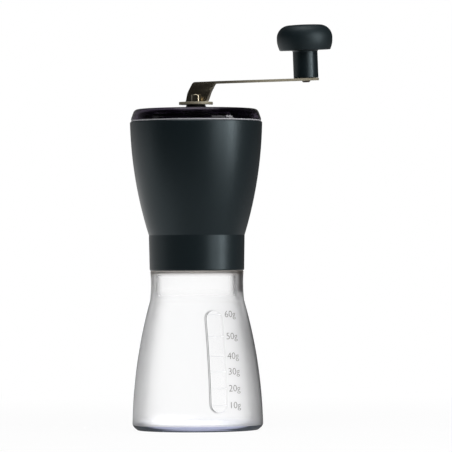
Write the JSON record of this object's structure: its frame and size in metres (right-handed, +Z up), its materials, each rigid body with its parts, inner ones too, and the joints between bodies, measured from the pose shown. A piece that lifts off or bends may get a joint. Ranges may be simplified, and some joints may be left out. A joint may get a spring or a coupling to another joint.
{
  "type": "manual coffee grinder",
  "caption": "Slim hand coffee mill: flared frosted jar with a gram scale, waisted dark hopper body, smoke lid, conical ceramic burrs and a lift-off steel crank with a mushroom knob.",
  "frame": {"origin": "middle of the flat base that the mill stands on, on the drive shaft's line", "axes": "+Z up along the drive shaft; the crank arm points along +X at rest"},
  "size_m": [0.1494, 0.0702, 0.2194],
  "materials": {
    "frosted_plastic": "clear plastic, frosted all over",
    "slate_plastic": "satin moulded, dark slate",
    "smoke_plastic": "polished, dark smoke",
    "black_plastic": "moulded, black",
    "white_nylon": "moulded",
    "ceramic": "fired, unglazed",
    "steel": "polished stainless",
    "brass": "turned"
  },
  "bodies": {
    "jar": {"grounds_jar": "frosted_plastic"},
    "head": {"hopper_body": "slate_plastic", "hub_spider": "black_plastic", "outer_burr": "ceramic", "burr_retainer": "black_plastic", "upper_bush": "white_nylon", "lower_bush": "white_nylon"},
    "lid": {"lid": "smoke_plastic"},
    "shaft": {"drive_shaft": "steel", "shaft_collar": "black_plastic", "thrust_washer": "steel", "shaft_clip": "steel", "spring_washer": "steel", "burr_spring": "steel"},
    "burr": {"inner_burr": "ceramic", "burr_hub": "black_plastic", "detent_washer": "steel"},
    "adjuster": {"adjuster_nut": "black_plastic", "nut_insert": "brass"},
    "crank": {"crank_arm": "steel", "knob_pin": "steel", "pin_washer": "black_plastic"},
    "knob": {"knob": "slate_plastic", "knob_sleeve": "brass"}
  },
  "joints": [
    {"name": "head_lift", "type": "slide", "parent": "jar", "child": "head", "axis": [0, 0, 1], "range_m": [0, 0.03]},
    {"name": "crank_turn", "type": "hinge", "parent": "head", "child": "shaft", "pos_m": [0, 0, 0.117], "axis": [0, 0, 1], "continuous": true},
    {"name": "burr_travel", "type": "slide", "parent": "shaft", "child": "burr", "axis": [0, 0, 1], "range_m": [-0.0015, 0], "deforming": ["burr_spring"]},
    {"name": "adjuster_turn", "type": "hinge", "parent": "burr", "child": "adjuster", "pos_m": [0, 0, 0.0877], "axis": [0, 0, 1], "range_deg": [-540, 0]},
    {"name": "handle_lift", "type": "slide", "parent": "shaft", "child": "crank", "axis": [0, 0, 1], "range_m": [0, 0.045]},
    {"name": "lid_lift", "type": "slide", "parent": "head", "child": "lid", "axis": [0, 0, 1], "range_m": [0, 0.025]},
    {"name": "knob_spin", "type": "hinge", "parent": "crank", "child": "knob", "pos_m": [0.1, 0, 0.18966], "axis": [-0.0532, 0, 0.9986], "continuous": true}
  ],
  "couplings": [
    {"joint": "burr_travel", "follows": "adjuster_turn", "m_per_rad": 0.000159},
    {"joint": "lid_lift", "follows": "handle_lift", "ratio": 0.55}
  ]
}
